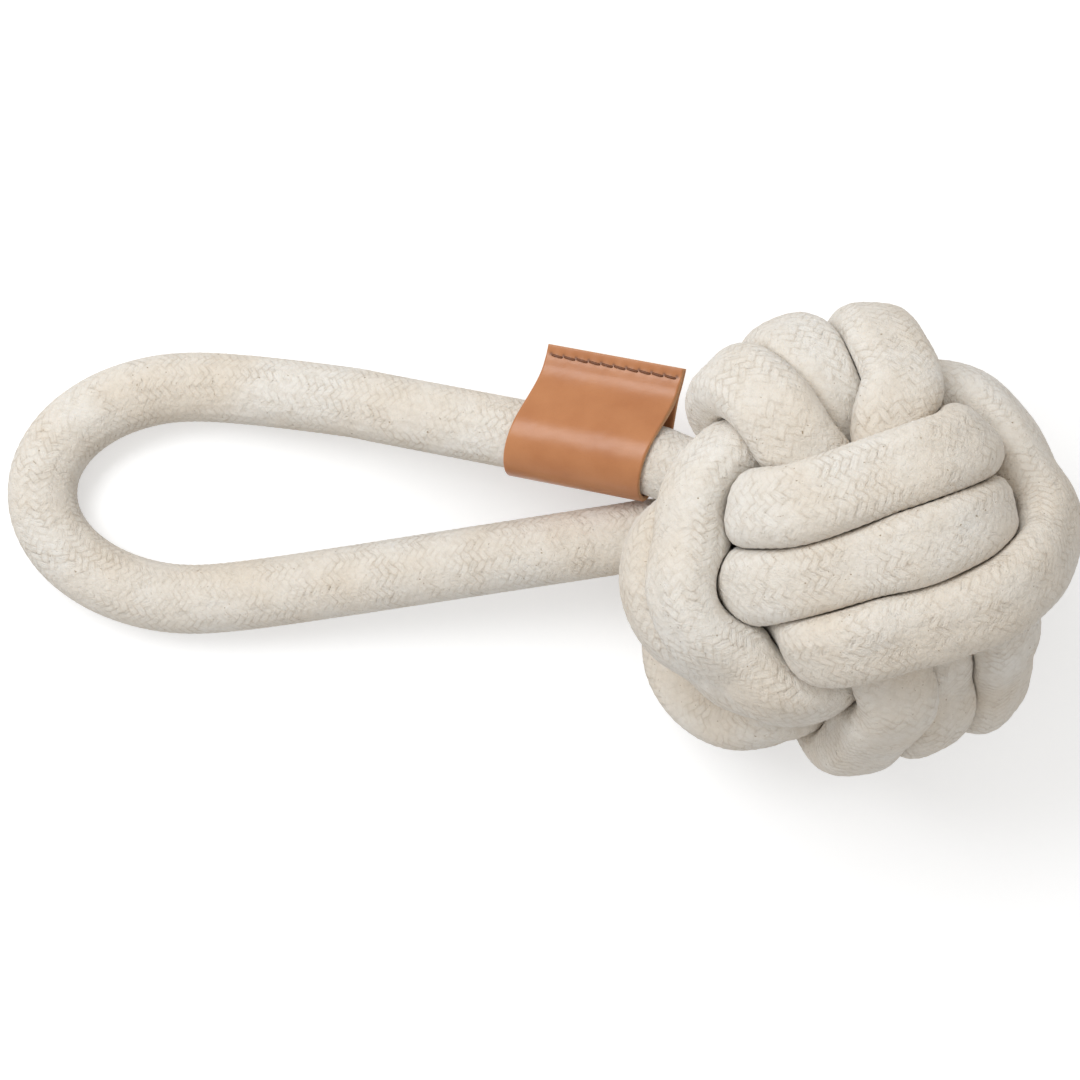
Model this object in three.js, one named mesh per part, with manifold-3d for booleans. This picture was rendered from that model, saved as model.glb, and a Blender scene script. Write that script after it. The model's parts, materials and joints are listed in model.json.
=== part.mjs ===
// Rope dog toy: a ball tied as a three-by-three monkey's fist round a core, a loop of the same
// rope as its handle, and a folded leather tab stitched round one leg of that loop.
// Millimetres. The floor is z = 0 and the loop reaches out along -X. The sizes are laid out
// from the floor under the middle of the ball, and the finished toy is then moved so that the
// origin is under the middle of its box.
import * as THREE from 'three';
import Module from 'manifold-3d';
import { mergeVertices } from 'three/addons/utils/BufferGeometryUtils.js';

const wasm = await Module();
wasm.setup();

// Driving sizes, in millimetres and degrees

const fitGap = 0.3;

// Ball: the rope is squashed where it is tied, thinner than where it runs free. Its turns lie
// closer on each other than side by side, by strandFlatness.
const strandDiameter = 15;
const strandGap = 4.2;
const strandFlatness = 1.2;
const coreDiameter = 30;
const overReach = 49;
const underReach = 30;
const cornerReach = 52;
const ballHeight = 60;
const turnDegrees = 12;
const leanDegrees = 15;
const rollDegrees = -2;
const skewDegrees = 20;
const leadDegrees = -82.5;
const tuckDegrees = 990;
const leadReaches = [14, 19.5, 25, 30.5];
const footCutShare = 0.1;

// Handle: two straight legs that fall from the ball, and a bend that lies on the floor. The
// outer leg leaves the ball rootLift above the hinge, the inner one as much below it.
const handleDiameter = 20;
const rootReach = 54;
const rootHeight = 35;
const rootLift = 5;
const rootSpacing = 20.4;
const rootOffset = 12;
const straightReach = 140;
const straightHeight = 14.5;
const outerSlope = 0.2;
const innerSlope = 0.155;
const bendReach = 185;
const bendLength = 43.8;
const bendWidth = 61;
const bendOffset = 13.5;
const handleCutShare = 0.1;
const liftDegrees = 38;
const dropDegrees = 25;
const sweptLiftDegrees = 40;

// Leather tab
const leatherThickness = 1.6;
const tabLength = 40;
const tabStart = 0;
const tabWidth = 38.5;
const layerGap = 0.35;
const neckDegrees = 58;

// Thread
const threadDiameter = 0.9;
const threadHole = 1.6;
const stitchPitch = 3.7;
const stitchInset = 3;

// Counts and shares

const turnSteps = 48;
const ringStep = 2;
const sweepPoints = 11;
const sweepShare = 0.3;
const flapPosts = [0.55, 0.75, 0.95];
const flapSteps = 6;
const strandSides = 6;
const handleSides = 12;
const handleSteps = 44;
const handleBendPoints = 9;
const legPoints = 10;
const capDegrees = [30, 55, 75];
const stitchCount = 10;
const tabArcSteps = 20;
const tabNeckSteps = 6;
const holeSides = 8;
const threadSides = 6;

const settleRounds = 300;
const easeRounds = 100;
const partPasses = 6;
const fixedStartPoints = 2;
const fixedEndPoints = 2;
const tensionShare = 0.4;
const closeShare = 0.02;
const bendShare = 0.3;
const sinkShare = 0.1;
const pullShare = 0.02;
const neighbourShare = 1.8;
const searchShare = 1.5;
const fadeShare = 2.5;
const flapStartShare = 1.75;
const flapPullShare = 0.7;
const knuckleShare = 1.1;
const blendDegrees = 60;
const sidePlace = 1.25;
const legPassDegrees = 900;
const legPassSpan = 120;
const legPassDrop = 1.5;

const radians = THREE.MathUtils.degToRad;
const V = (x, y, z) => new THREE.Vector3(x, y, z);

// Handle route: out along one leg, round the bend and back along the other

const handleRadius = handleDiameter / 2;
const sleeveInner = handleRadius + fitGap;
const sleeveOuter = sleeveInner + leatherThickness;
const flapEdge = tabWidth - sleeveOuter;
const flapHalf = layerGap / 2 + leatherThickness;
const restHeight = handleRadius - handleDiameter * handleCutShare;

function legRoot(side) {
  return V(-rootReach, rootOffset + side * rootSpacing / 2, rootHeight + side * rootLift);
}

function legEnd(side) {
  const slope = side > 0 ? outerSlope : -innerSlope;
  const y = legRoot(side).y + slope * (straightReach - rootReach);
  return V(-straightReach, y, straightHeight);
}

function handlePoints() {
  const leg = (side) => Array.from({ length: legPoints + 1 },
    (_, i) => legRoot(side).lerp(legEnd(side), i / legPoints));
  const bend = [];
  for (let i = 0; i <= handleBendPoints; i++) {
    const angle = Math.PI * (1 / 2 - i / handleBendPoints);
    const x = -bendReach - bendLength * Math.cos(angle);
    const y = bendOffset + bendWidth / 2 * Math.sin(angle);
    bend.push(V(x, y, restHeight));
  }
  return [...leg(1), ...bend, ...leg(-1).toReversed()];
}

// Ball route as first tied: three bands of three turns, each band over the next

const strandRadius = strandDiameter / 2;
const pitch = strandDiameter + strandGap;
const coreRadius = coreDiameter / 2;
const ballCentre = V(0, 0, ballHeight);
const ballTurn = new THREE.Matrix4().makeRotationX(radians(rollDegrees))
  .multiply(new THREE.Matrix4().makeRotationY(radians(leanDegrees)))
  .multiply(new THREE.Matrix4().makeRotationZ(radians(turnDegrees)));
const skew = new THREE.Matrix4().makeRotationZ(radians(skewDegrees));

// Each band: the way its first pass faces, the way it travels there, the way it lies across,
// the place of that pass, counted in pitches from the middle, the degrees from that pass at
// which the band is entered and left, and how many places lower it passes below the legs.
const bands = [
  { face: V(0, 0, 1), travel: V(1, 0, 0), across: V(0, 1, 0),
    place: 1, enter: leadDegrees, leave: 765 },
  { face: V(1, 0, 0), travel: V(0, 1, 0), across: V(0, 0, 1),
    place: 3 / 2, enter: -45, leave: 1125, drop: legPassDrop },
  { face: V(0, -1, 0).applyMatrix4(skew), travel: V(0, 0, 1),
    across: V(1, 0, 0).applyMatrix4(skew), place: sidePlace, enter: -135, leave: tuckDegrees },
];

// A turn's reach from the middle: far where it passes over, near where it passes under,
// and farthest at the corners, where it wraps the band that it passes over.
function turnReach(angle) {
  const mean = (overReach + underReach) / 4 + cornerReach / 2;
  const swing = (overReach - underReach) / 2;
  const corner = (overReach + underReach) / 4 - cornerReach / 2;
  return mean + swing * Math.cos(2 * angle) + corner * Math.cos(4 * angle);
}

function smooth(share) {
  const t = Math.min(Math.max(share, 0), 1);
  return t * t * (3 - 2 * t);
}

// A band's point, in degrees from its first pass. Each turn lies one place further across.
function bandPoint(band, degrees) {
  const atLegs = smooth(1 - Math.abs(degrees - legPassDegrees) / legPassSpan);
  const place = band.place - degrees / 360 - (band.drop ?? 0) * atLegs;
  const angle = radians(degrees);
  const reach = turnReach(angle);
  return V(0, 0, 0).addScaledVector(band.face, reach * Math.cos(angle))
    .addScaledVector(band.travel, reach * Math.sin(angle))
    .addScaledVector(band.across, place * pitch);
}

// The rope comes in beside the outer leg's end, ties the bands one after another, bending
// from each into the next at a corner of the ball, and its end is tucked in at the underside.
function fistPoints() {
  const step = 360 / turnSteps;
  const half = blendDegrees / 2;
  const points = [];
  const add = (point) => points.push(point.applyMatrix4(ballTurn).add(ballCentre));
  bands.forEach((band, number) => {
    const start = number > 0 ? band.enter + half : band.enter;
    const end = number + 1 < bands.length ? band.leave - half : band.leave;
    for (let degrees = start; degrees <= end; degrees += step) add(bandPoint(band, degrees));
    if (number + 1 === bands.length) return;
    const next = bands[number + 1];
    for (let past = step; past < blendDegrees; past += step) {
      const from = bandPoint(band, end + past);
      const to = bandPoint(next, next.enter - half + past);
      add(from.lerp(to, smooth(past / blendDegrees)));
    }
  });
  const root = legRoot(1);
  const inward = ballCentre.clone().sub(root).normalize();
  const leads = leadReaches.map((reach) => root.clone().addScaledVector(inward, reach));
  return [...leads, ...points];
}

// Points of each leg, and of the tab's flap on one of them, over the handle's whole swing.
// The ball's strands keep clear of them.
function legSweep() {
  const posts = [];
  const legSteps = Array.from({ length: sweepPoints }, (_, i) => i);
  const pivot = legRoot(1).lerp(legRoot(-1), 1 / 2);
  for (const side of [1, -1]) {
    const root = legRoot(side);
    const along = legEnd(side).sub(root).normalize();
    const outward = V(0, 1, 0).addScaledVector(along, -along.y).normalize();
    const apart = strandRadius + 2 * fitGap;
    const legClear = apart + (side > 0 ? sleeveOuter : handleRadius);
    const stepReach = handleRadius * sweepShare;
    const spots = legSteps.map((i) => ({ reach: i * stepReach, off: 0, clear: legClear }));
    for (const share of side > 0 ? flapPosts : []) {
      for (const i of legSteps.slice(0, flapSteps)) {
        const reach = tabStart + i * stepReach;
        spots.push({ reach, off: share * flapEdge, clear: apart + flapHalf });
      }
    }
    for (const swing of [-dropDegrees, 0, sweptLiftDegrees / 2, sweptLiftDegrees]) {
      for (const { reach, off, clear } of spots) {
        const point = root.clone().addScaledVector(along, reach).addScaledVector(outward, off);
        point.sub(pivot).applyAxisAngle(V(0, 1, 0), radians(swing)).add(pivot);
        posts.push({ point, clear });
      }
    }
  }
  return posts;
}

// The route as first tied is loose. Each round draws it tight, as a rope is, and then parts
// strands that lie closer than a pitch side by side, or than a pitch over strandFlatness on
// each other, and any strand and leg, core or floor that meet.
function settle(start, posts) {
  const points = start.map((point) => point.clone());
  const centre = ballCentre.clone();
  const near = Math.ceil(pitch * neighbourShare / points[turnSteps].distanceTo(points[turnSteps + 1]));
  const inner = coreRadius + strandRadius + strandGap / 2;
  const lowest = strandRadius - strandDiameter * footCutShare;
  const moves = points.map(() => V(0, 0, 0));
  const counts = points.map(() => 0);
  const way = V(0, 0, 0);
  const out = V(0, 0, 0);
  const stretch = Math.sqrt(strandFlatness * strandFlatness - 1);
  const last = points.length - fixedEndPoints;
  let pairs = [];

  function findPairs() {
    pairs = [];
    for (let i = 0; i < points.length; i++) {
      for (let j = i + near; j < points.length; j++) {
        if (points[i].distanceTo(points[j]) < searchShare * pitch) pairs.push([i, j]);
      }
    }
  }

  function part() {
    for (let i = 0; i < points.length; i++) {
      moves[i].set(0, 0, 0);
      counts[i] = 0;
    }
    for (const [i, j] of pairs) {
      way.subVectors(points[i], points[j]);
      out.addVectors(points[i], points[j]).divideScalar(2).sub(centre).normalize();
      const through = way.dot(out);
      const spread = Math.hypot(way.length(), stretch * through);
      const short = pitch - spread;
      if (short <= 0) continue;
      way.addScaledVector(out, through * stretch * stretch);
      way.setLength(short * spread / way.length() / 2);
      moves[i].add(way);
      moves[j].sub(way);
      counts[i] += 1;
      counts[j] += 1;
    }
    for (const post of posts) {
      for (let i = fixedStartPoints; i < last; i++) {
        way.subVectors(points[i], post.point);
        const short = post.clear - way.length();
        if (short <= 0) continue;
        moves[i].addScaledVector(way.normalize(), short);
        counts[i] += 1;
      }
    }
    for (let i = fixedStartPoints; i < last; i++) {
      if (counts[i] > 0) points[i].addScaledVector(moves[i], 1 / Math.sqrt(counts[i]));
      way.subVectors(points[i], centre);
      if (way.length() < inner) points[i].copy(centre).add(way.setLength(inner));
      points[i].z = Math.max(points[i].z, lowest);
    }
  }

  function straighten(share) {
    for (let i = fixedStartPoints; i < last; i++) {
      way.addVectors(points[i - 1], points[i + 1]).multiplyScalar(1 / 2).sub(points[i]);
      moves[i].copy(way).multiplyScalar(share);
    }
  }

  function draw(share) {
    straighten(tensionShare * share);
    for (let i = fixedStartPoints; i < last; i++) {
      way.subVectors(centre, points[i]).setLength(pullShare * strandRadius * share);
      moves[i].add(way);
    }
    for (let i = fixedStartPoints; i + turnSteps < last; i++) {
      way.subVectors(points[i + turnSteps], points[i]);
      const excess = way.length() - pitch;
      if (excess <= 0 || excess > pitch) continue;
      way.setLength(excess * closeShare * share);
      moves[i].add(way);
      moves[i + turnSteps].sub(way);
    }
    for (let i = fixedStartPoints; i < last; i++) points[i].add(moves[i]);
  }

  // Spaces the free points evenly again along their own line.
  function space() {
    const from = fixedStartPoints - 1;
    const travelled = [0];
    for (let i = from + 1; i <= last; i++) {
      travelled.push(travelled.at(-1) + points[i].distanceTo(points[i - 1]));
    }
    const old = points.map((point) => point.clone());
    let j = 0;
    for (let i = from + 1; i < last; i++) {
      const goal = travelled.at(-1) * (i - from) / (last - from);
      while (travelled[j + 1] < goal) j++;
      const share = (goal - travelled[j]) / (travelled[j + 1] - travelled[j]);
      points[i].lerpVectors(old[from + j], old[from + j + 1], share);
    }
  }

  // The ball sinks until its lowest strand is on the floor.
  function sink(share) {
    const fall = share * (Math.min(...points.map((point) => point.z)) - lowest);
    for (let i = fixedStartPoints; i < points.length; i++) points[i].z -= fall;
    centre.z -= fall;
  }

  for (let round = 0; round < settleRounds; round++) {
    sink(sinkShare);
    if (round % 3 === 0) findPairs();
    if (round % 10 === 0) space();
    draw(smooth((settleRounds - round) / easeRounds));
    for (let pass = 0; pass < partPasses; pass++) part();
  }
  space();
  findPairs();
  for (let pass = 0; pass < easeRounds; pass++) {
    sink(sinkShare);
    straighten(bendShare * smooth(2 - fadeShare * pass / easeRounds));
    for (let i = fixedStartPoints; i < last; i++) points[i].add(moves[i]);
    part();
  }
  sink(1);
  return { points, centre };
}

// Least distance between two strands of a route, surface to surface, measured on points
// half a step apart and leaving out what lies near along the rope itself.
function leastGap(points, diameter) {
  const curve = new THREE.CatmullRomCurve3(points);
  const fine = curve.getSpacedPoints(points.length * 2);
  const apart = Math.ceil(neighbourShare * diameter * fine.length / curve.getLength());
  let least = Infinity;
  for (let i = 0; i < fine.length; i++) {
    for (let j = i + apart; j < fine.length; j++) {
      least = Math.min(least, fine[i].distanceTo(fine[j]));
    }
  }
  return least - diameter;
}

// Solids

// A closed tube: a ring of points at each station, square to the route, with the frame
// carried along untwisted. Each ring has its own radius, so round ends are rings too.
function tube(stations, radii, sides) {
  const positions = [];
  const faces = [];
  const start = stations[1].clone().sub(stations[0]).normalize();
  let side = Math.abs(start.z) < 1 / 2 ? V(0, 0, 1) : V(0, 1, 0);
  for (let i = 0; i < stations.length; i++) {
    const before = stations[Math.max(i - 1, 0)];
    const after = stations[Math.min(i + 1, stations.length - 1)];
    const along = after.clone().sub(before).normalize();
    side = side.clone().addScaledVector(along, -side.dot(along)).normalize();
    const up = along.clone().cross(side);
    for (let k = 0; k < sides; k++) {
      const angle = 2 * Math.PI * (k + 1 / 2) / sides;
      const point = stations[i].clone().addScaledVector(side, radii[i] * Math.cos(angle))
        .addScaledVector(up, radii[i] * Math.sin(angle));
      positions.push(point.x, point.y, point.z);
    }
  }
  for (let i = 0; i + 1 < stations.length; i++) {
    for (let k = 0; k < sides; k++) {
      const a = i * sides + k;
      const b = i * sides + (k + 1) % sides;
      faces.push(a, b, b + sides, a, b + sides, a + sides);
    }
  }
  const first = positions.length / 3;
  const last = stations.length - 1;
  positions.push(...stations[0].toArray(), ...stations[last].toArray());
  for (let k = 0; k < sides; k++) {
    const next = (k + 1) % sides;
    faces.push(first, next, k, first + 1, last * sides + k, last * sides + next);
  }
  const geometry = new THREE.BufferGeometry();
  geometry.setAttribute('position', new THREE.Float32BufferAttribute(positions, 3));
  geometry.setIndex(faces);
  return geometry;
}

function toSolid(geometry) {
  const bare = geometry.clone();
  bare.deleteAttribute('normal');
  bare.deleteAttribute('uv');
  const merged = mergeVertices(bare);
  return new wasm.Manifold(new wasm.Mesh({
    numProp: 3,
    vertProperties: new Float32Array(merged.attributes.position.array),
    triVerts: new Uint32Array(merged.index.array),
  }));
}

function toMesh(name, solid, colour, roughness) {
  const data = solid.getMesh();
  const geometry = new THREE.BufferGeometry();
  const positions = new Float32Array(data.vertProperties);
  geometry.setAttribute('position', new THREE.BufferAttribute(positions, 3));
  geometry.setIndex(new THREE.BufferAttribute(new Uint32Array(data.triVerts), 1));
  geometry.computeVertexNormals();
  const material = new THREE.MeshStandardMaterial({ color: colour, roughness, metalness: 0 });
  const mesh = new THREE.Mesh(geometry, material);
  mesh.name = name;
  return mesh;
}

// Everything below the floor is cut away, which leaves a flat where a piece stands on it.
function cutAtFloor(solid) {
  return solid.trimByPlane([0, 0, 1], 0);
}

// Ball

const { points: route, centre: middle } = settle(fistPoints(), legSweep());
const rings = route.filter((point, i) => i % ringStep === 0);
const fist = cutAtFloor(toSolid(tube(rings, rings.map(() => strandRadius), strandSides)));
const core = toSolid(new THREE.SphereGeometry(coreRadius, 20, 12)).translate(middle.toArray());
const fistLength = new THREE.CatmullRomCurve3(route).getLength();
console.log('fist rope: least gap to itself', leastGap(route, strandDiameter).toFixed(2),
  'mm, length', fistLength.toFixed(0), 'mm');

// Handle

const handleCurve = new THREE.CatmullRomCurve3(handlePoints(), false, 'centripetal');
const handleStations = handleCurve.getSpacedPoints(handleSteps);

// A round end, as rings past the end of the route, centred on the line that it swings about.
function roundEnd(end, inner) {
  const out = end.clone().sub(inner).normalize();
  return capDegrees.map((degrees) => ({
    point: end.clone().addScaledVector(out, handleRadius * Math.sin(radians(degrees))),
    radius: handleRadius * Math.cos(radians(degrees)),
  }));
}

const handleRings = [
  ...roundEnd(handleStations[0], handleStations[1]).toReversed(),
  ...handleStations.map((point) => ({ point, radius: handleRadius })),
  ...roundEnd(handleStations.at(-1), handleStations.at(-2)),
];
const handle = cutAtFloor(toSolid(tube(handleRings.map((ring) => ring.point),
  handleRings.map((ring) => ring.radius), handleSides)));
console.log('handle rope: length', handleCurve.getLength().toFixed(0), 'mm');

// Tab: its edge-on outline, drawn with the rope's axis at zero and the flap along X

const neck = radians(neckDegrees);

// From the flap's edge in along one layer's face and down on to the sleeve round the rope.
function flapFace(offset, radius) {
  const leave = V(radius * Math.cos(neck), radius * Math.sin(neck), 0);
  const meet = V(radius * flapStartShare, offset, 0);
  const slide = radius / 2;
  const curve = new THREE.CubicBezierCurve3(
    meet,
    V(meet.x - slide * flapPullShare, offset, 0),
    V(leave.x + Math.sin(neck) * slide, leave.y - Math.cos(neck) * slide, 0),
    leave,
  );
  return [V(flapEdge, offset, 0), ...curve.getPoints(tabNeckSteps)];
}

function sleeveArc(radius) {
  return Array.from({ length: tabArcSteps - 1 }, (_, i) => {
    const angle = neck + 2 * (Math.PI - neck) * (i + 1) / tabArcSteps;
    return V(radius * Math.cos(angle), radius * Math.sin(angle), 0);
  });
}

function tabOutline() {
  const flip = (point) => V(point.x, -point.y, 0);
  const outside = flapFace(flapHalf, sleeveOuter);
  const inside = flapFace(layerGap / 2, sleeveInner);
  return [
    ...outside,
    ...sleeveArc(sleeveOuter),
    ...outside.toReversed().map(flip),
    ...inside.map(flip),
    ...sleeveArc(sleeveInner).toReversed(),
    ...inside.toReversed(),
  ].map((point) => new THREE.Vector2(point.x, point.y));
}

const tabGeometry = new THREE.ExtrudeGeometry(new THREE.Shape(tabOutline()), {
  depth: tabLength,
  bevelEnabled: false,
  steps: 1,
});

// Stitches: holes through both layers, and a thread on each face

const stitchLine = flapEdge - stitchInset;
const stitchMargin = (tabLength - stitchPitch * stitchCount) / 2;
const stitchPlaces = Array.from({ length: stitchCount + 1 },
  (_, i) => stitchMargin + i * stitchPitch);

function rod(from, to, radius, sides) {
  return toSolid(tube([from, to], [radius, radius], sides));
}

const past = flapHalf + leatherThickness;
const holes = stitchPlaces.map((along) =>
  rod(V(stitchLine, -past, along), V(stitchLine, past, along), threadHole / 2, holeSides));
const leather = toSolid(tabGeometry).subtract(wasm.Manifold.union(holes));

// A thread lies along one face of the flap and dips into every hole, short of the other
// thread, with a knuckle where it turns down.
function thread(side) {
  const radius = threadDiameter / 2;
  const height = side * (flapHalf + fitGap + radius);
  const tops = stitchPlaces.map((along) => V(stitchLine, height, along));
  const knuckle = toSolid(new THREE.SphereGeometry(radius * knuckleShare, holeSides, threadSides));
  return wasm.Manifold.union([
    ...tops.map((top) => rod(top, V(stitchLine, side * fitGap / 2, top.z), radius, threadSides)),
    ...tops.map((top) => knuckle.translate(top.toArray())),
    rod(tops[0], tops.at(-1), radius, threadSides),
  ]);
}

// The tab is set on the outer leg, its flap turned level and away from the other leg.
const root = legRoot(1);
const legWay = legEnd(1).sub(root).normalize();
const outward = V(0, 1, 0).addScaledVector(legWay, -legWay.y).normalize();
const tabFrame = new THREE.Matrix4().makeBasis(outward, legWay.clone().cross(outward), legWay)
  .setPosition(root.clone().addScaledVector(legWay, tabStart));
const onLeg = (solid) => solid.transform(tabFrame.elements);

// Assembly of the toy

const cotton = '#dcd3c3';
const toy = new THREE.Group();
toy.add(
  toMesh('fist_rope', fist, cotton, 0.95),
  toMesh('core_ball', core, '#8c7a64', 0.8),
  toMesh('handle_rope', handle, cotton, 0.95),
  toMesh('leather_tab', onLeg(leather), '#c0845a', 0.6),
  toMesh('needle_thread', onLeg(thread(1)), '#5a3a26', 0.8),
  toMesh('bobbin_thread', onLeg(thread(-1)), '#5a3a26', 0.8),
);

const box = new THREE.Box3().setFromObject(toy);
const [midX, midY] = box.getCenter(V(0, 0, 0)).toArray();
toy.position.set(-midX, -midY, 0);
console.log('moved by', (-midX).toFixed(3), (-midY).toFixed(3), 'mm, size',
  box.getSize(V(0, 0, 0)).toArray().map((side) => side.toFixed(2)).join(' x '));

export default toy;
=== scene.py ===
"""A rope dog toy: a ball knotted from thick cotton rope, whose loop is the handle, with a leather tab."""

import json
import math

import bpy
import numpy as np
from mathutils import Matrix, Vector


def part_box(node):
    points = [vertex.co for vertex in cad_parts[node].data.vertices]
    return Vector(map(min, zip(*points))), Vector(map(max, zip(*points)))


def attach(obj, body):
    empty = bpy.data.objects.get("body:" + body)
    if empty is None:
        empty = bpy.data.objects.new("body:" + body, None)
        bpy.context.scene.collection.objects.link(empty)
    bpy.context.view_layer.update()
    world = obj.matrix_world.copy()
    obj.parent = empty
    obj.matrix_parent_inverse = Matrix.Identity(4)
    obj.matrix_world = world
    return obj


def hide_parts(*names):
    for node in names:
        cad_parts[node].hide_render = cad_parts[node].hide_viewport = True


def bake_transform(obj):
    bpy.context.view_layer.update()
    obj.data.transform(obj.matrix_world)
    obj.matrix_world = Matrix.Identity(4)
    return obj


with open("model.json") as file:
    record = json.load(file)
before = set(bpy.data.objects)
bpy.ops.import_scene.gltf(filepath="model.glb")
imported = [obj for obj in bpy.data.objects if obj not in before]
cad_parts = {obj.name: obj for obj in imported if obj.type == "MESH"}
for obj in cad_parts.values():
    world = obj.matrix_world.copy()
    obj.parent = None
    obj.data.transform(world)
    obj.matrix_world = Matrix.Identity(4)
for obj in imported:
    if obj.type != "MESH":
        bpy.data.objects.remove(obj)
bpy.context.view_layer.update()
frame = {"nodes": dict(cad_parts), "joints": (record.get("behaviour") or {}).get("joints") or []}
toy = bpy.context.scene.collection

# Camera
# The toy was photographed lying on a white table, from about a metre straight above it.
photo_width = 1080
focal_pixels = 3577
camera_place = (0.0060, 0.0005, 1.036)

lens = bpy.data.cameras.new("camera")
lens.sensor_width = 36
lens.lens = lens.sensor_width * focal_pixels / photo_width
camera = bpy.data.objects.new("camera", lens)
camera.location = camera_place
toy.objects.link(camera)
bpy.context.scene.camera = camera

# Loop handle
# One free length of soft cotton rope, braided from forty plies, that leaves the ball, turns in a
# wide bend and goes back in beside itself. The rope is 20 mm thick and undyed.
rope_radius = 0.010
hinge = np.array(next(j["pos_m"] for j in frame["joints"] if j["name"] == "handle_bend"))
# The outer leg enters the ball above the hinge's line and the inner leg below it. Both run straight
# to the bend, and their slopes are sideways over forward.
root_spacing = 0.0204
root_lift = 0.005
leg_run = 0.086
leg_end_height = 0.0145
outer_slope, inner_slope = 0.2, -0.155
leg_points = 11
# The bend is half an ellipse, and its start and its middle line are counted from the hinge.
bend_start = -0.131
bend_length = 0.0438
bend_half_width = 0.0305
bend_middle = 0.0015
bend_height = 0.008
bend_points = 10
tuck_length = 0.012
handle_step = 0.0007
handle_sides = 84
points_per_span = 24
cap_rings = 6
# Each of the braid's two sets has this many plies around the rope, and one more every pitch along it.
plies_around = 20
ply_pitch = 0.0024
ply_relief = 0.0002
float_sink_share = 0.8
floor_clearance = 0.0002


def run_along(line):
    """The length of the line up to each of its points."""
    return np.concatenate([[0], np.cumsum(np.linalg.norm(np.diff(line, axis=0), axis=1))])


def smooth_line(points, step):
    """A centripetal Catmull-Rom curve through the points, read off again at even steps of its length.
    Between two points it is the cubic whose slope at each point is the mean of the slopes of the
    spans beside it, each weighted by the other span's share."""
    points = np.asarray(points, float)
    spans = np.sqrt(np.linalg.norm(np.diff(points, axis=0), axis=1))[:, None]
    slopes = np.diff(points, axis=0) / spans
    inner = (slopes[:-1] * spans[1:] + slopes[1:] * spans[:-1]) / (spans[1:] + spans[:-1])
    tangents = np.vstack([slopes[:1], inner, slopes[-1:]])
    t = np.linspace(0, 1, points_per_span, endpoint=False)[None, :, None]
    p, q = points[:-1, None], points[1:, None]
    a, b = tangents[:-1, None] * spans[:, None], tangents[1:, None] * spans[:, None]
    fine = ((2 * t**3 - 3 * t**2 + 1) * p + (t**3 - 2 * t**2 + t) * a
            + (3 * t**2 - 2 * t**3) * q + (t**3 - t**2) * b)
    fine = np.vstack([fine.reshape(-1, 3), points[-1:]])
    run = run_along(fine)
    even = np.linspace(0, run[-1], int(round(run[-1] / step)) + 1)
    return np.stack([np.interp(even, run, fine[:, k]) for k in range(3)], axis=1)


def unit(vectors):
    """Each vector divided by its own length."""
    return vectors / np.linalg.norm(vectors, axis=-1, keepdims=True)


def frames_along(line, outward):
    """The tangent at each point, the outward direction made square to it, and the direction across."""
    tangent = unit(np.gradient(line, axis=0))
    up = unit(outward - (outward * tangent).sum(1, keepdims=True) * tangent)
    return tangent, up, np.cross(tangent, up)


def side_angles(sides):
    """The angles of that many points spread evenly round a circle."""
    return 2 * np.pi * np.arange(sides) / sides


def ring_quads(rings, sides):
    """The corners of the faces between rings of points that follow each other, by their numbers."""
    i, j = np.meshgrid(np.arange(rings - 1), np.arange(sides), indexing="ij")
    k = (j + 1) % sides
    quads = np.stack([i * sides + j, i * sides + k, (i + 1) * sides + k, (i + 1) * sides + j], -1)
    return quads.reshape(-1, 4)


def new_piece(name, points, faces):
    """A smooth mesh of these points and faces, put into the scene."""
    mesh = bpy.data.meshes.new(name)
    mesh.from_pydata(points, [], faces)
    mesh.polygons.foreach_set("use_smooth", np.ones(len(mesh.polygons), bool))
    piece = bpy.data.objects.new(name, mesh)
    toy.objects.link(piece)
    return piece


def braid_relief(along, around):
    """Height of the braid from 0 in its creases to 1 on its plies. One set of plies follows lines of
    equal around + along and the other lines of equal around - along. Each ply passes over two of
    the other set and under two, and a ply on top is an arch across its width and along its float."""
    p, q = around + along, around - along
    first, second = np.floor(p), np.floor(q)
    first_float, second_float = np.mod(first + q, 4), np.mod(p + second, 4) - 2
    on_top = first_float < 2
    across = np.where(on_top, p - first, q - second) * 2 - 1
    length = np.where(on_top, first_float, second_float) - 1
    return (1 - across**2) * (1 - float_sink_share * length**2)


def tube_surface(line, tangent, up, across, radii):
    """Vertex grid of a tube: each ring's point at angle a lies at its own radius from the line along
    -cos(a) up + sin(a) across, and the ends are closed by rings that shrink along a quarter circle
    to a last point each."""
    angle = side_angles(radii.shape[1])[:, None]
    spokes = -np.cos(angle) * up[:, None] + np.sin(angle) * across[:, None]
    rings = line[:, None] + spokes * radii[:, :, None]
    fade = np.linspace(0, np.pi / 2, cap_rings + 2)[1:-1, None, None]

    def cap(end, way):
        """The shrinking rings beyond one end, from its last ring outwards, and its last point."""
        outward = way * tangent[end] * radii[end].mean()
        shrinking = line[end] + outward * np.sin(fade) + spokes[end] * radii[end][:, None] * np.cos(fade)
        return shrinking, line[end] + outward

    (start, first), (finish, last) = cap(0, -1), cap(-1, 1)
    return np.concatenate([start[::-1], rings, finish]), np.stack([first, last])


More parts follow.
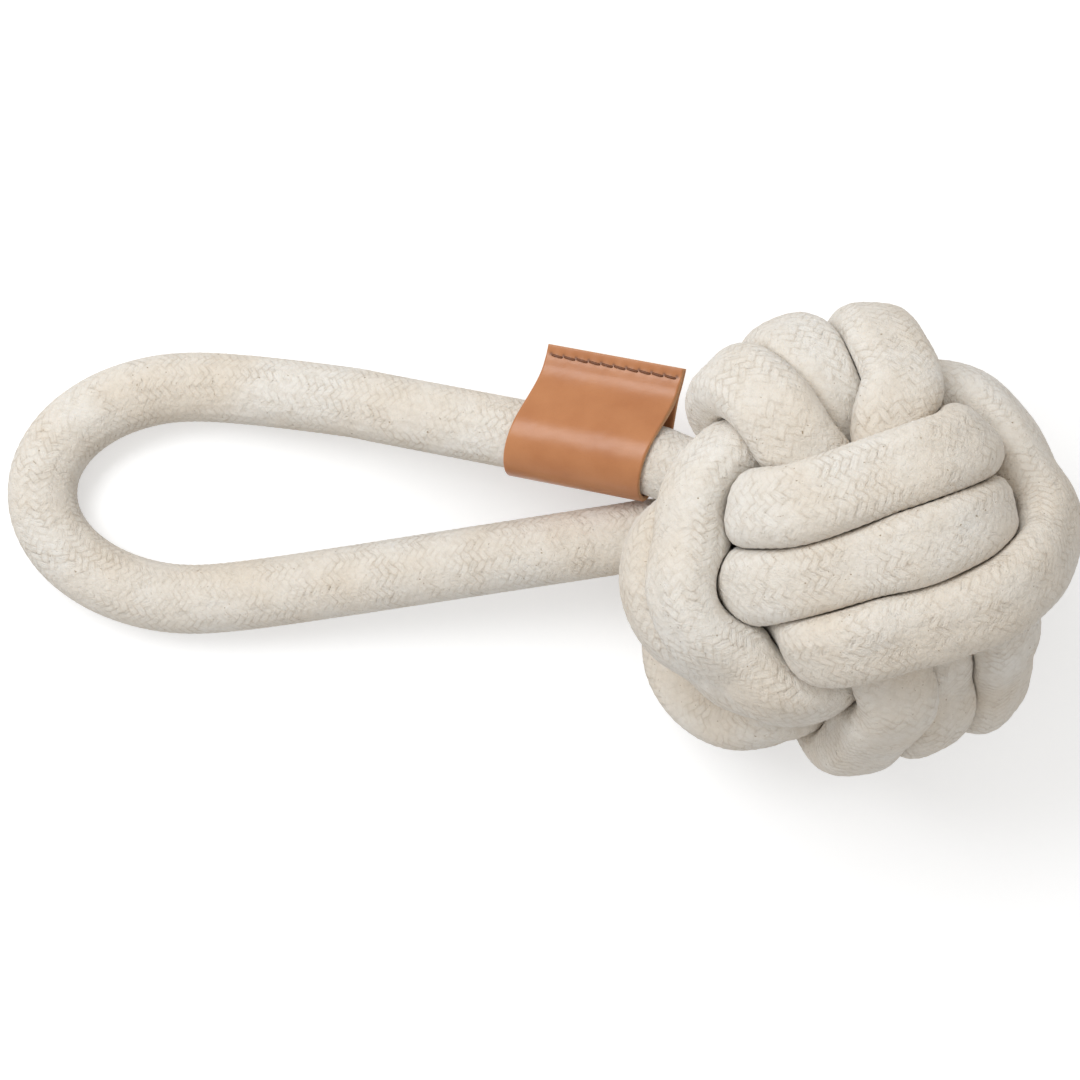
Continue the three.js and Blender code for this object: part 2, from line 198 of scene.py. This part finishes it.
def tube_piece(name, grid, poles, along):
    """A closed mesh of the ring grid, with a fan of triangles round each pole. Its UV map holds the
    braid's own coordinates: plies passed along the rope, and plies passed around it."""
    rings, sides = grid.shape[:2]
    side = np.arange(sides)
    turned = (side + 1) % sides
    pole = np.full(sides, rings * sides)
    last = (rings - 1) * sides
    first_fan = np.stack([pole, turned, side], -1)
    last_fan = np.stack([pole + 1, last + side, last + turned], -1)
    faces = ring_quads(rings, sides).tolist() + first_fan.tolist() + last_fan.tolist()
    piece = new_piece(name, np.vstack([grid.reshape(-1, 3), poles]), faces)
    i, j = np.meshgrid(np.arange(rings - 1), side, indexing="ij")
    u = np.concatenate([
        np.stack([along[i], along[i], along[i + 1], along[i + 1]], -1).reshape(-1),
        np.repeat([along[0], along[-1]], 3 * sides)])
    v = np.concatenate([
        np.stack([j, j + 1, j + 1, j], -1).reshape(-1),
        np.stack([side + 0.5, side + 1, side], -1).reshape(-1),
        np.stack([side + 0.5, side, side + 1], -1).reshape(-1)]) * plies_around / sides
    layer = piece.data.uv_layers.new(name="braid")
    layer.data.foreach_set("uv", np.stack([u, v], -1).reshape(-1).astype(np.float32))
    return piece


def rope_piece(name, line, axes, radii, along):
    """One stretch of rope with its braid in relief, kept just off the floor. along holds the plies
    passed up to each point of its line, and axes the line's tangent, up and across directions."""
    around = np.arange(radii.shape[1]) * plies_around / radii.shape[1]
    radii = radii - ply_relief * (1 - braid_relief(along[:, None], around))
    grid, poles = tube_surface(line, *axes, radii)
    grid[..., 2] = np.maximum(grid[..., 2], floor_clearance)
    return tube_piece(name, grid, poles, np.pad(along, cap_rings, mode="edge"))


def handle_points():
    """Both roots, and points from one round the loop to the other: the legs are straight, and the
    bend is half an ellipse between them."""
    step = np.linspace(0, 1, leg_points)[:, None]
    legs = []
    for side, slope in ((1, outer_slope), (-1, inner_slope)):
        root = hinge + (0, side * root_spacing / 2, side * root_lift)
        end = np.array([root[0] - leg_run, root[1] + slope * leg_run, leg_end_height])
        legs.append((root, root + (end - root) * step))
    turn = np.pi / 2 - np.linspace(0, np.pi, bend_points)
    bend = np.stack([
        hinge[0] + bend_start - bend_length * np.cos(turn),
        hinge[1] + bend_middle + bend_half_width * np.sin(turn),
        np.full(bend_points, bend_height)], -1)
    (outer_root, outer), (inner_root, inner) = legs
    return outer_root, inner_root, np.vstack([outer, bend, inner[::-1]])


def tucked(points, ball_centre):
    """The route with a short straight piece added at both ends, towards the middle of the ball,
    where it lies inside the knot."""
    ends = [points[0] + unit(ball_centre - points[0]) * tuck_length * part for part in (1, 0.5)]
    tails = [points[-1] + unit(ball_centre - points[-1]) * tuck_length * part for part in (0.5, 1)]
    return np.vstack([ends, points, tails])


core_low, core_high = (np.array(corner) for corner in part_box("core_ball"))
ball_centre = (core_low + core_high) / 2
outer_root, inner_root, route = handle_points()
handle_line = smooth_line(tucked(route, ball_centre), handle_step)
axes = frames_along(handle_line, np.array([[0, 0, 1.0]]))
radii = np.full((len(handle_line), handle_sides), rope_radius)
handle = rope_piece("loop_handle", handle_line, axes, radii, run_along(handle_line) / ply_pitch)


def linear(colour):
    """The linear light of a colour given as it looks on a screen, from 0 to 255."""
    c = np.array(colour) / 255
    light = np.where(c <= 0.04045, c / 12.92, ((c + 0.055) / 1.055) ** 2.4)
    return (*light.tolist(), 1)


def joined(tree, socket, value):
    """Puts a value into a socket, or a link if the value is another node's output."""
    if isinstance(value, bpy.types.NodeSocket):
        tree.links.new(value, socket)
    else:
        socket.default_value = value


def maths(tree, operation, *values):
    """One Math node on the values, and its output."""
    node = tree.nodes.new("ShaderNodeMath")
    node.operation = operation
    for socket, value in zip(node.inputs, values):
        joined(tree, socket, value)
    return node.outputs[0]


def blended(tree, share, low, high):
    """A colour between low and high by share."""
    node = tree.nodes.new("ShaderNodeMix")
    node.data_type = "RGBA"
    for name, value in (("Factor_Float", share), ("A_Color", low), ("B_Color", high)):
        joined(tree, next(s for s in node.inputs if s.identifier == name), value)
    return next(s for s in node.outputs if s.identifier == "Result_Color")


def noise(tree, place, scale, detail, roughness=0.5, spread=(0, 1)):
    """Cloudy noise of that many lumps a metre, with the range in spread drawn out to 0 to 1."""
    node = tree.nodes.new("ShaderNodeTexNoise")
    tree.links.new(place, node.inputs["Vector"])
    node.inputs["Scale"].default_value = scale
    node.inputs["Detail"].default_value = detail
    node.inputs["Roughness"].default_value = roughness
    stretch = tree.nodes.new("ShaderNodeMapRange")
    stretch.inputs["From Min"].default_value, stretch.inputs["From Max"].default_value = spread
    tree.links.new(node.outputs[0], stretch.inputs["Value"])
    return stretch.outputs[0]


def bumped(tree, height, distance, strength=1.0, normal=None):
    """A surface normal tilted by the height, which counts for that distance in metres."""
    node = tree.nodes.new("ShaderNodeBump")
    node.inputs["Distance"].default_value = distance
    node.inputs["Strength"].default_value = strength
    tree.links.new(height, node.inputs["Height"])
    if normal:
        tree.links.new(normal, node.inputs["Normal"])
    return node.outputs[0]


def new_material(name, roughness):
    """A new material, its node tree, its shader, and the coordinates that its pattern needs."""
    material = bpy.data.materials.new(name)
    material.use_nodes = True
    tree = material.node_tree
    shader = tree.nodes["Principled BSDF"]
    shader.inputs["Roughness"].default_value = roughness
    coordinates = tree.nodes.new("ShaderNodeTexCoord")
    return material, tree, shader, coordinates


def woven(tree, coordinates):
    """The pattern of braid_relief once more, as nodes on the UV map, with noise that keeps its lines
    from running straight: how high a point lies on its ply, and on one of the ply's three yarns."""
    place = coordinates.outputs["Object"]
    split = tree.nodes.new("ShaderNodeSeparateXYZ")
    tree.links.new(coordinates.outputs["UV"], split.inputs[0])
    x = maths(tree, "MULTIPLY_ADD", noise(tree, place, 420, 3), 0.7, split.outputs[0])
    y = maths(tree, "MULTIPLY_ADD", noise(tree, place, 370, 3), 0.55, split.outputs[1])
    p, q = maths(tree, "ADD", y, x), maths(tree, "SUBTRACT", y, x)
    first, second = maths(tree, "FLOOR", p), maths(tree, "FLOOR", q)
    first_float = maths(tree, "FLOORED_MODULO", maths(tree, "ADD", first, q), 4.0)
    second_float = maths(
        tree, "SUBTRACT", maths(tree, "FLOORED_MODULO", maths(tree, "ADD", p, second), 4.0), 2.0)
    on_top = maths(tree, "LESS_THAN", first_float, 2.0)

    def chosen(low, high):
        """low where the second set lies on top, and high where the first does."""
        return maths(tree, "ADD", low, maths(tree, "MULTIPLY", on_top, maths(tree, "SUBTRACT", high, low)))

    across = chosen(maths(tree, "FRACT", q), maths(tree, "FRACT", p))
    middle = maths(tree, "MULTIPLY_ADD", across, 2.0, -1.0)
    length = maths(tree, "SUBTRACT", chosen(second_float, first_float), 1.0)
    arch = maths(tree, "SUBTRACT", 1.0, maths(tree, "MULTIPLY", middle, middle))
    rise = maths(tree, "MULTIPLY_ADD", maths(tree, "MULTIPLY", length, length), -0.85, 1.0)
    wave = maths(tree, "COSINE", maths(tree, "MULTIPLY", across, 6 * math.pi))
    return maths(tree, "MULTIPLY", arch, rise), maths(tree, "MULTIPLY_ADD", wave, -0.5, 0.5)


def cotton_rope():
    """Undyed cotton: the braid's plies and yarns, worn to a soft nap in patches, with warm and cool
    places, lumps, painted shade in the braid's creases and a few specks of seed."""
    material, tree, shader, coordinates = new_material("undyed cotton rope", 0.95)
    place = coordinates.outputs["Object"]
    ply, yarn = woven(tree, coordinates)
    nap = noise(tree, place, 120, 3, spread=(0.4, 0.62))
    clear = maths(tree, "MULTIPLY_ADD", nap, 0.85, 0.15)
    height = maths(tree, "MULTIPLY", maths(tree, "MULTIPLY_ADD", yarn, 0.35, ply), clear)
    normal = bumped(tree, height, 0.0005, 0.4)
    normal = bumped(tree, noise(tree, place, 2900, 3, 0.7), 0.0003, 0.7, normal)
    normal = bumped(tree, noise(tree, place, 900, 3, 0.6), 0.0007, 0.7, normal)
    normal = bumped(tree, noise(tree, place, 200, 2), 0.0016, 0.5, normal)
    tree.links.new(normal, shader.inputs["Normal"])
    warmth = noise(tree, place, 32, 3, spread=(0.38, 0.62))
    cream = blended(tree, warmth, linear((231, 226, 218)), linear((225, 215, 201)))
    lump = maths(tree, "MULTIPLY", noise(tree, place, 420, 2, spread=(0.45, 0.8)), 0.5)
    cream = blended(tree, lump, cream, linear((208, 198, 184)))
    # Painted shade: the braid's creases darkened towards a warm brown, less where the nap is worn.
    crease_shade = maths(tree, "POWER", maths(tree, "SUBTRACT", 1.0, ply), 3.0)
    crease_shade = maths(tree, "MULTIPLY", crease_shade, maths(tree, "MULTIPLY", clear, 0.4))
    shade = blended(tree, crease_shade, cream, linear((176, 156, 130)))
    speck = noise(tree, place, 1000, 1, spread=(0.73, 0.82))
    tree.links.new(blended(tree, speck, shade, linear((160, 142, 118))), shader.inputs["Base Color"])
    shader.inputs["Subsurface Weight"].default_value = 0.15
    shader.inputs["Subsurface Radius"].default_value = (1.0, 0.85, 0.7)
    shader.inputs["Subsurface Scale"].default_value = 0.002
    shader.inputs["Sheen Weight"].default_value = 0.12
    shader.inputs["Sheen Roughness"].default_value = 0.6
    shader.inputs["Specular IOR Level"].default_value = 0.15
    return material


cotton = cotton_rope()
handle.data.materials.append(cotton)
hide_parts("handle_rope")
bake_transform(handle)

# Ball
# The rest of the same rope, tied in three bands of three turns each round a core and drawn tight,
# so that each band passes over the next one and the strands press flat where they touch.
strand_height, strand_half_width = 0.0092, 0.0113
strand_squareness = 2.8
strand_step = 0.0009
strand_sides = 72
strand_parts = 3
cut_search_length = 0.08
# Stretches of the rope press on each other if they lie further apart than this along it.
strand_apart = 0.027
contact_gap = 0.00004
least_facing_share = 0.1
soften_rounds = 5
centre_nudge = 0.00001
lump_height = 0.0004
# Each wave of the lumps: radians a metre along the rope, waves around it, and where it starts.
lump_waves = ((210, 2, 0), (137, -3, 1), (325, 1, 2), (71, 4, 4))
solid_sides = 6
merge_digits = 6
floor_level = 0.000001
tip_evenness = 0.0001
# The handle swings past the ball's strands, and the leather tab on its outer leg swings with it.
swing_degrees = (-25, -12, 0, 10, 19, 29, 38)
swing_gap = 0.0003
swing_reach = 0.033
swept_steps, swept_flap_steps = 12, 9
swept_flap_length, swept_flap_start = 0.016, 0.0135
leather_thickness = 0.0016
tab_width = 0.0385
layer_gap = 0.00035
rope_play = 0.0003
flap_corner = -0.004
sleeve_inner = rope_radius + rope_play
sleeve_outer = sleeve_inner + leather_thickness
flap_edge = tab_width - sleeve_outer
flap_half = layer_gap / 2 + leather_thickness


def leg_direction(root, slope):
    """The way that a leg runs straight from its root."""
    return unit(np.array([-leg_run, slope * leg_run, leg_end_height - root[2]]))


leg_way = leg_direction(outer_root, outer_slope)
flap_way = unit(np.array([0, 1, 0]) - leg_way[1] * leg_way)


def ring_centres(node):
    """The rope's own line, read back from its solid: from the tip of one end the rings of six
    vertices follow each other, each next to the last, and a ring's middle is on the line. Rings
    that the floor cuts are passed over."""
    raw = np.zeros(len(node.data.vertices) * 3, np.float32)
    node.data.vertices.foreach_get("co", raw)
    places = np.round(raw.reshape(-1, 3).astype(float), merge_digits)
    corners, index = np.unique(places, axis=0, return_inverse=True)
    faces = np.zeros(len(node.data.polygons) * 3, np.int32)
    node.data.polygons.foreach_get("vertices", faces)
    faces = index.reshape(-1)[faces].reshape(-1, 3)
    pairs = np.unique(np.vstack([faces[:, [0, 1]], faces[:, [1, 2]], faces[:, [2, 0]]]), axis=0)
    above = corners[:, 2] > floor_level
    pairs = pairs[above[pairs[:, 0]] & above[pairs[:, 1]]]
    links = np.split(pairs[:, 1], np.unique(pairs[:, 0], return_index=True)[1][1:])
    beside = dict(zip(np.unique(pairs[:, 0]).tolist(), (set(group.tolist()) for group in links)))
    tips = [vertex for vertex, group in beside.items() if len(group) == solid_sides
            and all(len(beside[other] & group) == 2 for other in group)
            and np.ptp(np.linalg.norm(corners[list(group)] - corners[vertex], axis=1)) < tip_evenness]
    start = min(tips, key=lambda vertex: np.linalg.norm(corners[vertex] - outer_root))
    last, ring, middles = set(), {start}, []
    while ring:
        following = set().union(*(beside[vertex] for vertex in ring)) - ring - last
        last, ring = ring, following
        if len(ring) == solid_sides:
            middles.append(corners[list(ring)].mean(0))
    return np.array(middles)


def swept_handle():
    """Points on both legs and on the tab near the ball over the handle's whole swing, turned about
    the hinge, and how thick what lies there is."""
    run = np.linspace(0, swing_reach, swept_steps)[:, None]
    inner_way = leg_direction(inner_root, inner_slope)
    reach, off = (grid.reshape(-1, 1) for grid in np.meshgrid(
        np.linspace(flap_corner, flap_corner + swept_flap_length, swept_flap_steps),
        np.linspace(swept_flap_start, flap_edge, swept_flap_steps)))
    still = np.vstack([
        outer_root + leg_way * run, inner_root + inner_way * run,
        outer_root + leg_way * reach + flap_way * off]) - hinge
    clear = np.concatenate([
        np.full(len(run), sleeve_outer), np.full(len(run), rope_radius), np.full(len(reach), flap_half)])
    posts = []
    for swing in np.radians(swing_degrees):
        turned = np.stack([still[:, 0] * np.cos(swing) + still[:, 2] * np.sin(swing), still[:, 1],
                           still[:, 2] * np.cos(swing) - still[:, 0] * np.sin(swing)], -1)
        posts.append(hinge + turned)
    return np.vstack(posts), np.tile(clear, len(swing_degrees))


def pressed_radii(line, up, across):
    """How far the rope reaches from its line in each direction. Free, its section is a flattened
    round: the shares of its half width and of its height, each raised to strand_squareness, sum to
    one. Where it meets another stretch of itself both are flat halfway between, so the reach is half
    the distance over the cosine of the angle to that stretch. The handle's legs, the tab and the
    core keep their shape, and press into it."""
    angle = side_angles(strand_sides)
    high = (np.abs(np.cos(angle)) / strand_height) ** strand_squareness
    wide = (np.abs(np.sin(angle)) / strand_half_width) ** strand_squareness
    free = (high + wide) ** (-1 / strand_squareness)
    reach = np.tile(free, (len(line), 1))
    run = run_along(line)

    def press(others, plane, apart):
        """Flattens every ring against each of the other points within its reach. plane turns their
        distance into the room up to the flat between them. Where apart isn't zero the others are
        the line's own points, and those that near along it don't count."""
        offset = others[None] - line[:, None]
        distance = np.linalg.norm(offset, axis=2)
        room = plane(distance)
        near = room < free.max()
        if apart:
            near &= np.abs(run[:, None] - run[None]) > apart
        ring, other = np.nonzero(near)
        way = offset[ring, other] / distance[ring, other][:, None]
        facing = (-np.cos(angle) * (way * up[ring]).sum(1)[:, None]
                  + np.sin(angle) * (way * across[ring]).sum(1)[:, None])
        flat = room[ring, other][:, None] / np.maximum(facing, least_facing_share)
        limit = np.where(facing > least_facing_share, flat, 1.0)
        rows, starts = np.unique(ring, return_index=True)
        reach[rows] = np.minimum(reach[rows], np.minimum.reduceat(limit, starts, axis=0))

    posts, clear = swept_handle()
    press(line, lambda distance: (distance - contact_gap) / 2, strand_apart)
    press(ball_centre[None], lambda distance: distance - (core_high - core_low)[0] / 2, 0)
    press(posts, lambda distance: distance - clear[None] - swing_gap, 0)
    return reach


def softened(hard):
    """The reach evened out over a few rings and then over a few sides, and held under its hard limit
    again."""
    reach = hard
    for _ in range(soften_rounds):
        padded = np.pad(reach, ((1, 1), (0, 0)), mode="edge")
        reach = (padded[:-2] + 2 * reach + padded[2:]) / 4
    for _ in range(soften_rounds):
        reach = (np.roll(reach, 1, axis=1) + 2 * reach + np.roll(reach, -1, axis=1)) / 4
    return np.minimum(reach, hard)


def unevenness(run, angle):
    """How much the soft rope swells and sinks along and around itself: the mean of a few sine waves
    of unlike lengths."""
    waves = [np.sin(run[:, None] * rate + times * angle + start) for rate, times, start in lump_waves]
    return lump_height * sum(waves) / len(waves)


strand_line = smooth_line(ring_centres(frame["nodes"]["fist_rope"]), strand_step)
tangent, up, across = frames_along(strand_line, strand_line - ball_centre + (0, 0, centre_nudge))
run = run_along(strand_line)
lumps = unevenness(run, side_angles(strand_sides))
reach = softened(pressed_radii(strand_line, up, across)) + np.minimum(lumps, 0)
# The mesh is parted where the rope lies deepest under the other bands, and each part ends in a
# round tip inside the next one.
depth = np.linalg.norm(strand_line - ball_centre, axis=1)
cuts = [0]
for part in range(1, strand_parts):
    near = part * len(depth) // strand_parts
    cuts.append(near + int(np.argmin(depth[near:near + int(cut_search_length / strand_step)])))
cuts.append(len(depth) - 1)
for number, (start, stop) in enumerate(zip(cuts, cuts[1:]), 1):
    part = slice(start, stop + 1)
    ball = rope_piece(
        f"ball_rope_{number}", strand_line[part], (tangent[part], up[part], across[part]), reach[part],
        run[part] / ply_pitch)
    ball.data.materials.append(cotton)
    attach(ball, "fist")
    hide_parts("fist_rope")

# Core
# A round filling, taken to be plain wood, that keeps the knot from closing up. The three bands hold
# it in the middle of the ball and hide it.


def core_wood():
    """Plain pale wood with rings of growth."""
    material, tree, shader, coordinates = new_material("core wood", 0.7)
    place = coordinates.outputs["Object"]
    rings = tree.nodes.new("ShaderNodeTexWave")
    tree.links.new(place, rings.inputs["Vector"])
    rings.inputs["Scale"].default_value = 90
    rings.inputs["Distortion"].default_value = 3
    wood = blended(tree, rings.outputs["Fac"], linear((150, 132, 108)), linear((132, 112, 88)))
    tree.links.new(wood, shader.inputs["Base Color"])
    tree.links.new(bumped(tree, noise(tree, place, 1200, 3), 0.0002), shader.inputs["Normal"])
    return material


core = frame["nodes"]["core_ball"]
core.data.materials.clear()
core.data.materials.append(core_wood())

# Leather tab
# One strip of tan leather, folded round the outer leg of the loop, with its two ends laid on each
# other as a flap and sewn together. Its cut edges are pale, and it is bare.
tab_length = 0.040
neck = math.radians(58)
flap_start_share, flap_pull_share = 1.75, 0.7
edge_round = 0.0004
side_shift = 0.0048
flap_steps, neck_steps, arc_steps, width_steps, rim_steps = 40, 24, 90, 100, 5
stitch_pitch = 0.0037
stitch_inset = 0.003
stitch_count = 10
stitch_margin = (tab_length - stitch_pitch * stitch_count) / 2
stitch_line = flap_edge - stitch_inset
seam_half_width = 0.0014
seam_dip, hole_dip = 0.00012, 0.00016
hole_half_width, hole_sharpness = 0.0006, 8

face_way = np.cross(leg_way, flap_way)
tab_origin = outer_root + leg_way * flap_corner


def on_tab(out, off, along):
    """The points that lie so far out from the leg towards the flap's edge, so far off the plane
    between the flap's layers, and so far along the leg."""
    return tab_origin + out * flap_way + off * face_way + along * leg_way


def lean_at(out):
    """How far the strip's side edges have leaned along the leg, away from the ball: half a cosine
    wave from nothing at the flap's edge to side_shift at the sleeve's far side."""
    share = np.clip((flap_edge - out) / (flap_edge + sleeve_outer), 0, 1)
    return side_shift * (1 - np.cos(np.pi * share)) / 2


def tab_face(offset, radius):
    """One face of the folded strip, edge-on: level from the flap's edge, down a cubic Bezier curve to
    the sleeve, round the sleeve, and back by the mirrored way."""
    t = np.linspace(0, 1, neck_steps + 1)[:, None]
    leave = np.array([radius * math.cos(neck), radius * math.sin(neck)])
    meet = np.array([radius * flap_start_share, offset])
    slide = radius / 2
    pull = meet - (slide * flap_pull_share, 0)
    push = leave + (math.sin(neck) * slide, -math.cos(neck) * slide)
    curve = (1 - t) ** 3 * meet + 3 * (1 - t) ** 2 * t * pull + 3 * (1 - t) * t**2 * push + t**3 * leave
    level = np.linspace((flap_edge, offset), meet, flap_steps, endpoint=False)
    angle = np.linspace(neck, 2 * np.pi - neck, arc_steps + 1)[1:-1]
    arc = radius * np.stack([np.cos(angle), np.sin(angle)], 1)
    side = np.vstack([level, curve])
    return np.vstack([side, arc, side[::-1] * (1, -1)])


outside = tab_face(flap_half, sleeve_outer)
inside = tab_face(layer_gap / 2, sleeve_inner)
middle = (outside + inside) / 2
run = run_along(middle)
rim = np.minimum(run, run[-1] - run)
rounding = np.sqrt(np.clip(1 - (1 - np.clip(rim / edge_round, 0, 1)) ** 2, 0.0, 1))
half = (outside - inside) / 2 * rounding[:, None]
# Once round the strip's own cross-section: over the outer face, round the far edge, back inside.
face = np.linspace(edge_round, tab_length - edge_round, width_steps)
turn = np.linspace(0, np.pi, rim_steps + 2)[1:-1]
level = np.concatenate([np.ones(width_steps), np.cos(turn), -np.ones(width_steps), -np.cos(turn)])
far_edge = tab_length - edge_round + edge_round * np.sin(turn)
near_edge = edge_round - edge_round * np.sin(turn)
width = np.concatenate([face, far_edge, face[::-1], near_edge])
# The seam draws the outer faces in along its line, most at its holes.
off_seam = middle[:, :1] - stitch_line
at_hole = (1 + np.cos(2 * np.pi * (width - stitch_margin) / stitch_pitch)) / 2
dip = np.exp(-(off_seam / seam_half_width) ** 2) * (seam_dip + hole_dip * at_hole)
drawn = np.maximum(level, 0) * (1 - dip / leather_thickness * 2) + np.minimum(level, 0)
section = middle[:, None] + half[:, None] * drawn[..., None]
along = width + lean_at(middle[:, :1])
tab_points = on_tab(section[..., :1], section[..., 1:], along[..., None])
# Faces point out of the strip, so their corners go the other way round than a tube's.
tab_faces = ring_quads(*along.shape)[:, [0, 3, 2, 1]]
tab = new_piece("leather_strip", tab_points.reshape(-1, 3), tab_faces.tolist())
bared = np.maximum(1 - np.abs(level), 1 - rounding[:, None])
# Where the outer faces get painted shade in and round the stitch holes.
hole_shade_mask = (level > 0) * np.exp(-(off_seam / hole_half_width) ** 2) * at_hole ** hole_sharpness
for name, values in (("raw_edge", bared), ("painted_hole_shade", hole_shade_mask)):
    layer = tab.data.attributes.new(name, "FLOAT", "POINT")
    layer.data.foreach_set("value", values.reshape(-1).astype(np.float32))


def tan_leather():
    """Smooth tan leather: fine pores, faint mottling, a satin top, painted shade in and round its stitch
    holes, and raw edges where the paler inside of the hide shows."""
    material, tree, shader, coordinates = new_material("tan leather", 0.34)
    place = coordinates.outputs["Object"]

    def share(name, gain):
        """The strip's attribute of that name, drawn out by the gain and held at one."""
        node = tree.nodes.new("ShaderNodeAttribute")
        node.attribute_name = name
        return maths(tree, "MINIMUM", maths(tree, "MULTIPLY", node.outputs["Fac"], gain), 1.0)

    cut, hole_shade = share("raw_edge", 1.4), share("painted_hole_shade", 1.3)
    mottling = noise(tree, place, 90, 4, spread=(0.3, 0.7))
    tan = blended(tree, mottling, linear((184, 123, 78)), linear((172, 110, 66)))
    pores = noise(tree, place, 2400, 2, spread=(0.55, 0.8))
    tan = blended(tree, maths(tree, "MULTIPLY", pores, 0.15), tan, linear((140, 88, 54)))
    # Painted shade: the leather darkened in and round its stitch holes.
    tan = blended(tree, maths(tree, "MULTIPLY", hole_shade, 0.75), tan, linear((92, 54, 32)))
    fibre = blended(tree, noise(tree, place, 1500, 3), linear((214, 172, 132)), linear((190, 144, 104)))
    tree.links.new(blended(tree, cut, tan, fibre), shader.inputs["Base Color"])
    satin = maths(tree, "MULTIPLY_ADD", noise(tree, place, 300, 3), 0.12, 0.27)
    tree.links.new(maths(tree, "MULTIPLY_ADD", cut, 0.45, satin), shader.inputs["Roughness"])
    normal = bumped(tree, noise(tree, place, 1800, 4, 0.6), 0.0001, 0.3)
    normal = bumped(tree, noise(tree, place, 110, 2), 0.0006, 0.5, normal)
    tree.links.new(normal, shader.inputs["Normal"])
    shader.inputs["Specular IOR Level"].default_value = 0.42
    return material


tab.data.materials.append(tan_leather())
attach(tab, "tab")
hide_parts("leather_tab")

# Seam
# Dark waxed thread, machine-sewn through both layers of the flap, a stitch on each face between
# every two holes.
thread_radius = 0.00036
stitch_gap = 0.0005
stitch_sink = 0.0007
stitch_rise = 0.00085
stitch_flatness = 0.45
stitch_slant = 0.00016
stitch_steps, thread_sides = 16, 10


def stitches(name, side):
    """Ten arched stitches on one face: along each, height is a flat arch that dips under the face at
    both ends, and the thread is round."""
    share = np.linspace(0, 1, stitch_steps)
    height = flap_half - stitch_sink + stitch_rise * np.sin(np.pi * share) ** stitch_flatness
    slant = stitch_slant * (share - 0.5) * 2
    starts = stitch_margin + np.arange(stitch_count)[:, None] * stitch_pitch + stitch_gap / 2
    along = lean_at(stitch_line) + starts + share * (stitch_pitch - stitch_gap)
    lines = np.stack(np.broadcast_arrays(stitch_line + slant, side * height, along), -1)
    tangent = unit(np.gradient(lines, axis=1))
    sideways = unit(np.cross(tangent, np.array([1.0, 0, 0])))[:, :, None]
    flat = np.cross(tangent[:, :, None], sideways)
    angle = side_angles(thread_sides)[:, None]
    points = lines[:, :, None] + thread_radius * (np.cos(angle) * sideways + np.sin(angle) * flat)
    placed = on_tab(points[..., :1], points[..., 1:2], points[..., 2:])
    numbers = np.arange(placed[..., 0].size).reshape(placed.shape[:3])
    quads = (numbers[:, :1, :1] + ring_quads(stitch_steps, thread_sides)).reshape(-1, 4)
    lids = numbers[:, 0, ::-1].tolist() + numbers[:, -1].tolist()
    return new_piece(name, placed.reshape(-1, 3), quads.tolist() + lids)


def waxed_thread():
    """Dark brown thread with a dull wax shine."""
    material, tree, shader, coordinates = new_material("waxed thread", 0.55)
    twist = noise(tree, coordinates.outputs["Object"], 3000, 2)
    brown = blended(tree, twist, linear((124, 77, 47)), linear((92, 55, 33)))
    tree.links.new(brown, shader.inputs["Base Color"])
    tree.links.new(bumped(tree, twist, 0.0001), shader.inputs["Normal"])
    return material


thread = waxed_thread()
for name, node, side in (("needle_stitches", "needle_thread", 1), ("bobbin_stitches", "bobbin_thread", -1)):
    row = stitches(name, side)
    row.data.materials.append(thread)
    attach(row, "tab")
    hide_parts(node)

# Floor and light
# A plain white floor, a large soft lamp up and to the left as in the photograph, and light from
# all round.
floor_half = 3.0
floor_grey, floor_lift = 0.7, 0.42
lamp_place = (-0.5, 0.5, 1.0)
lamp_length, lamp_depth = 0.9, 0.45
lamp_power = 8.6
lamp_colour, sky_colour = (0.96, 0.98, 1.0), (1.0, 0.99, 0.975)
sky_strength = 0.67


def seen_directly(tree):
    """One where a ray comes from the camera, from a gloss or through something clear, otherwise zero."""
    rays = tree.nodes.new("ShaderNodeLightPath")
    looked = maths(tree, "MAXIMUM", rays.outputs["Is Camera Ray"], rays.outputs["Is Glossy Ray"])
    return maths(tree, "MAXIMUM", looked, rays.outputs["Is Transmission Ray"])


corners = [(x * floor_half, y * floor_half, 0) for x, y in ((-1, -1), (1, -1), (1, 1), (-1, 1))]
floor = new_piece("floor", corners, [(0, 1, 2, 3)])
floor_material, tree, shader, _ = new_material("floor", 0.9)
shader.inputs["Base Color"].default_value = (floor_grey, floor_grey, floor_grey, 1)
shader.inputs["Specular IOR Level"].default_value = 0
shader.inputs["Emission Color"].default_value = (1, 1, 1, 1)
tree.links.new(maths(tree, "MULTIPLY", seen_directly(tree), floor_lift), shader.inputs["Emission Strength"])
floor.data.materials.append(floor_material)

lamp_data = bpy.data.lights.new("lamp", "AREA")
lamp_data.shape = "RECTANGLE"
lamp_data.size, lamp_data.size_y = lamp_length, lamp_depth
lamp_data.energy = lamp_power
lamp_data.color = lamp_colour
lamp = bpy.data.objects.new("lamp", lamp_data)
lamp.location = lamp_place
toy.objects.link(lamp)
aim = -np.array(lamp_place)
lamp.rotation_euler = (
    math.atan2(math.hypot(aim[0], aim[1]), -aim[2]), 0, math.atan2(aim[1], aim[0]) - math.pi / 2)

world = bpy.data.worlds.new("sky")
bpy.context.scene.world = world
world.use_nodes = True
tree = world.node_tree
sky = tree.nodes["Background"]
seen = seen_directly(tree)
tree.links.new(blended(tree, seen, (*sky_colour, 1), (1, 1, 1, 1)), sky.inputs["Color"])
tree.links.new(maths(tree, "MULTIPLY_ADD", seen, 1 - sky_strength, sky_strength), sky.inputs["Strength"])
bpy.context.scene.view_settings.view_transform = "Standard"
